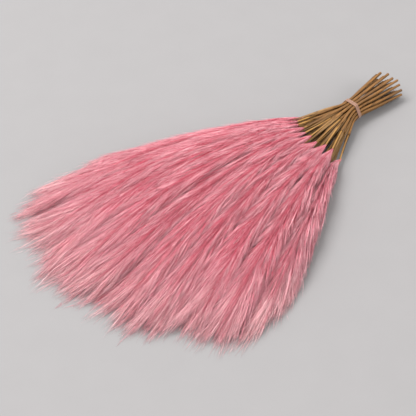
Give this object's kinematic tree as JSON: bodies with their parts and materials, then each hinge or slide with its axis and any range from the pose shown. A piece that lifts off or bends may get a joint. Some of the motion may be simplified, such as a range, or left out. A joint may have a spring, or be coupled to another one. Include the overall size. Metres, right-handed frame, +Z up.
{
  "type": "bundle of pampas grass",
  "caption": "Bunch of dried pampas grass with dyed pink plumes fanned out from a tied waist, lying flat on a surface.",
  "frame": {"origin": "centre of the bunch's footprint, on the surface it lies on", "axes": "+X towards the cut stem ends, -X towards the tips of the fanned plumes, +Z up from the surface"},
  "size_m": [0.4462, 0.306, 0.047],
  "materials": {
    "dried_stem": "dry matt straw",
    "dyed_plume": "soft dyed plant hair",
    "tie_band": "matt"
  },
  "bodies": {
    "root": {"band": "tie_band", "plume_bottom_1": "dyed_plume", "plume_bottom_2": "dyed_plume", "plume_bottom_3": "dyed_plume", "plume_bottom_4": "dyed_plume", "plume_bottom_5": "dyed_plume", "plume_bottom_6": "dyed_plume", "plume_bottom_7": "dyed_plume", "plume_bottom_8": "dyed_plume", "plume_middle_1": "dyed_plume", "plume_middle_10": "dyed_plume", "plume_middle_11": "dyed_plume", "plume_middle_12": "dyed_plume", "plume_middle_2": "dyed_plume", "plume_middle_3": "dyed_plume", "plume_middle_4": "dyed_plume", "plume_middle_5": "dyed_plume", "plume_middle_6": "dyed_plume", "plume_middle_7": "dyed_plume", "plume_middle_8": "dyed_plume", "plume_middle_9": "dyed_plume", "plume_top_1": "dyed_plume", "plume_top_2": "dyed_plume", "plume_top_3": "dyed_plume", "plume_top_4": "dyed_plume", "plume_top_5": "dyed_plume", "plume_top_6": "dyed_plume", "plume_top_7": "dyed_plume", "plume_top_8": "dyed_plume", "plume_top_9": "dyed_plume", "stem_bottom_1": "dried_stem", "stem_bottom_2": "dried_stem", "stem_bottom_3": "dried_stem", "stem_bottom_4": "dried_stem", "stem_bottom_5": "dried_stem", "stem_bottom_6": "dried_stem", "stem_bottom_7": "dried_stem", "stem_bottom_8": "dried_stem", "stem_middle_1": "dried_stem", "stem_middle_10": "dried_stem", "stem_middle_11": "dried_stem", "stem_middle_12": "dried_stem", "stem_middle_2": "dried_stem", "stem_middle_3": "dried_stem", "stem_middle_4": "dried_stem", "stem_middle_5": "dried_stem", "stem_middle_6": "dried_stem", "stem_middle_7": "dried_stem", "stem_middle_8": "dried_stem", "stem_middle_9": "dried_stem", "stem_top_1": "dried_stem", "stem_top_2": "dried_stem", "stem_top_3": "dried_stem", "stem_top_4": "dried_stem", "stem_top_5": "dried_stem", "stem_top_6": "dried_stem", "stem_top_7": "dried_stem", "stem_top_8": "dried_stem", "stem_top_9": "dried_stem"}
  },
  "joints": []
}
